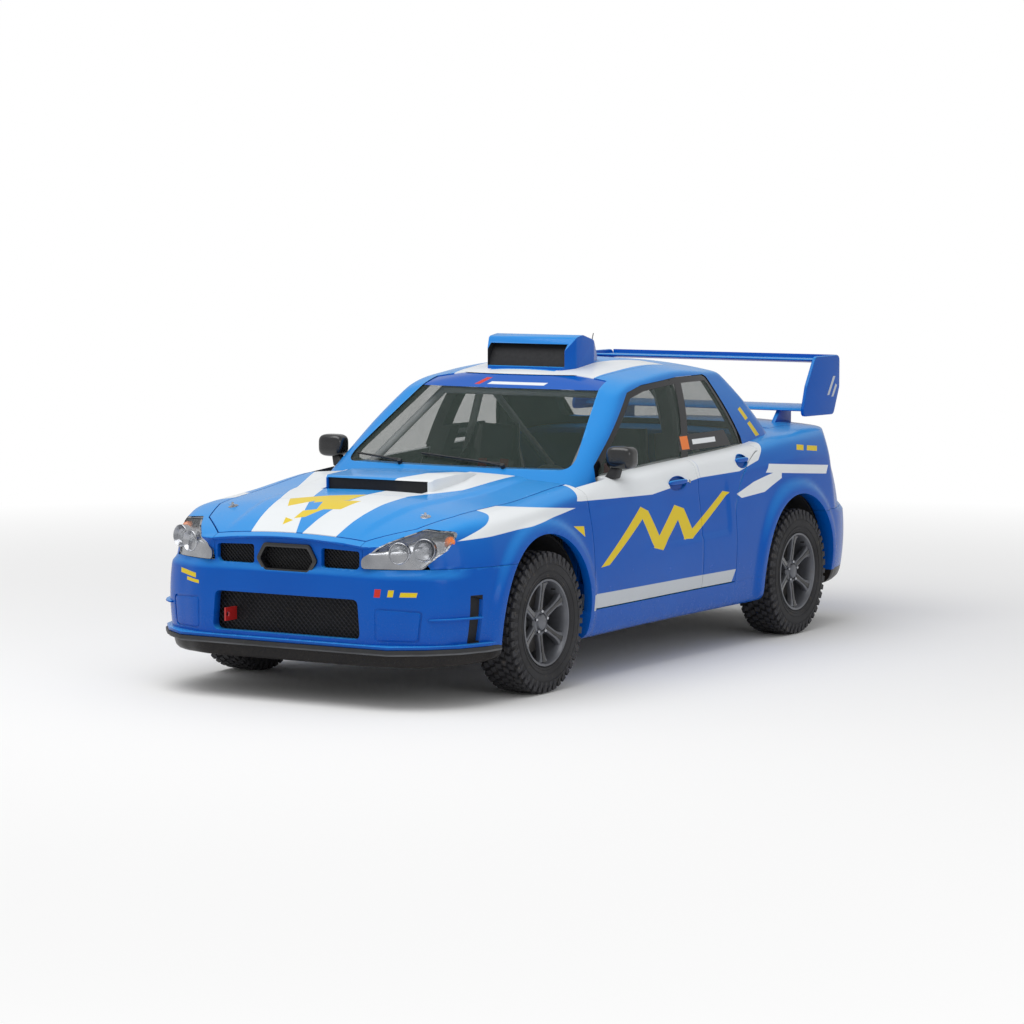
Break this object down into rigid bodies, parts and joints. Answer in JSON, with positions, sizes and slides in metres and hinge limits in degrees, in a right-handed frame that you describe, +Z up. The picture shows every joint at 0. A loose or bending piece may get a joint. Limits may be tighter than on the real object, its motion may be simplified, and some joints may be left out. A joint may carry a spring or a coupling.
{
  "type": "rally car",
  "caption": "Four-door rally saloon with opening doors, bonnet and boot lid, steering front wheels, free-turning wheels, roof and bonnet scoops and a tall rear wing.",
  "frame": {"origin": "on the ground under the middle of the car's overall length, on the centreline", "axes": "+Z up, -Y towards the nose, +X towards the car's own left side"},
  "size_m": [1.788, 4.3, 1.574],
  "materials": {
    "blue_paint": "gloss",
    "white_paint": "gloss",
    "black_plastic": "moulded",
    "glass": "tinted",
    "lamp_glass": "clear",
    "red_lens": "ribbed",
    "wheel_grey": "satin",
    "tyre": "rubber",
    "steel": "bare",
    "cage_paint": "gloss",
    "floor_paint": "satin",
    "seat_cloth": "woven",
    "cast_metal": "rough"
  },
  "bodies": {
    "body": {"front_bumper": "blue_paint", "grille": "black_plastic", "headlamps": "lamp_glass", "front_fenders": "blue_paint", "cowl_panel": "black_plastic", "cabin_frame": "blue_paint", "roof_panel": "blue_paint", "windscreen": "glass", "rear_window": "glass", "door_hinges": "steel", "quarter_panels": "blue_paint", "rear_bumper": "blue_paint", "tail_lamps": "red_lens", "floor_pan": "floor_paint", "firewall": "floor_paint", "boot_floor": "floor_paint", "wheel_linings": "floor_paint", "sills": "blue_paint", "splitter": "black_plastic", "seats": "seat_cloth", "roll_cage": "cage_paint", "dashboard": "black_plastic", "engine_block": "cast_metal", "front_suspension": "steel", "rear_suspension": "steel", "driveline": "steel", "exhaust": "steel", "tow_eyes": "red_lens"},
    "bonnet": {"bonnet": "blue_paint"},
    "boot_lid": {"boot_lid": "blue_paint", "rear_wing": "blue_paint"},
    "steering_wheel": {"steering_wheel": "black_plastic"},
    "front_door_left": {"front_door_left": "blue_paint", "front_glass_left": "glass", "door_mirror_left": "black_plastic"},
    "rear_door_left": {"rear_door_left": "blue_paint", "rear_glass_left": "glass"},
    "front_knuckle_left": {"front_knuckle_left": "cast_metal"},
    "front_door_right": {"front_door_right": "blue_paint", "front_glass_right": "glass", "door_mirror_right": "black_plastic"},
    "rear_door_right": {"rear_door_right": "blue_paint", "rear_glass_right": "glass"},
    "front_knuckle_right": {"front_knuckle_right": "cast_metal"},
    "wheel_front_left": {"rim_front_left": "wheel_grey", "tyre_front_left": "tyre"},
    "wheel_front_right": {"rim_front_right": "wheel_grey", "tyre_front_right": "tyre"},
    "wheel_rear_left": {"rim_rear_left": "wheel_grey", "tyre_rear_left": "tyre"},
    "wheel_rear_right": {"rim_rear_right": "wheel_grey", "tyre_rear_right": "tyre"}
  },
  "joints": [
    {"name": "bonnet_hinge", "type": "hinge", "parent": "body", "child": "bonnet", "pos_m": [0, -0.85, 0.917], "axis": [-1, 0, 0], "range_deg": [0, 60]},
    {"name": "boot_lid_hinge", "type": "hinge", "parent": "body", "child": "boot_lid", "pos_m": [0, 1.448, 1.056], "axis": [1, 0, 0], "range_deg": [0, 60]},
    {"name": "front_door_left_hinge", "type": "hinge", "parent": "body", "child": "front_door_left", "pos_m": [0.8686, -0.81, 0.595], "axis": [0, 0, -1], "range_deg": [0, 65]},
    {"name": "rear_door_left_hinge", "type": "hinge", "parent": "body", "child": "rear_door_left", "pos_m": [0.86942, 0.2535, 0.595], "axis": [0, 0, -1], "range_deg": [0, 65]},
    {"name": "steer_left", "type": "hinge", "parent": "body", "child": "front_knuckle_left", "pos_m": [0.7, -1.28, 0.205], "axis": [-0.2445, 0, 0.9697], "range_deg": [-30, 30]},
    {"name": "front_door_right_hinge", "type": "hinge", "parent": "body", "child": "front_door_right", "pos_m": [-0.8686, -0.81, 0.595], "axis": [0, 0, 1], "range_deg": [0, 65]},
    {"name": "rear_door_right_hinge", "type": "hinge", "parent": "body", "child": "rear_door_right", "pos_m": [-0.86942, 0.2535, 0.595], "axis": [0, 0, 1], "range_deg": [0, 65]},
    {"name": "steer_right", "type": "hinge", "parent": "body", "child": "front_knuckle_right", "pos_m": [-0.7, -1.28, 0.205], "axis": [0.2445, 0, 0.9697], "range_deg": [-30, 30]},
    {"name": "spin_front_left", "type": "hinge", "parent": "front_knuckle_left", "child": "wheel_front_left", "pos_m": [0.775, -1.28, 0.325], "axis": [1, 0, 0], "continuous": true},
    {"name": "spin_front_right", "type": "hinge", "parent": "front_knuckle_right", "child": "wheel_front_right", "pos_m": [-0.775, -1.28, 0.325], "axis": [1, 0, 0], "continuous": true},
    {"name": "spin_rear_left", "type": "hinge", "parent": "body", "child": "wheel_rear_left", "pos_m": [0.775, 1.265, 0.325], "axis": [1, 0, 0], "continuous": true},
    {"name": "spin_rear_right", "type": "hinge", "parent": "body", "child": "wheel_rear_right", "pos_m": [-0.775, 1.265, 0.325], "axis": [1, 0, 0], "continuous": true},
    {"name": "steering_wheel_turn", "type": "hinge", "parent": "body", "child": "steering_wheel", "pos_m": [0.35, -0.3375, 0.8], "axis": [0, 0.9394, 0.3428], "range_deg": [-360, 360]}
  ],
  "couplings": [
    {"joint": "steer_right", "follows": "steer_left", "ratio": 1},
    {"joint": "steering_wheel_turn", "follows": "steer_left", "ratio": 12}
  ]
}
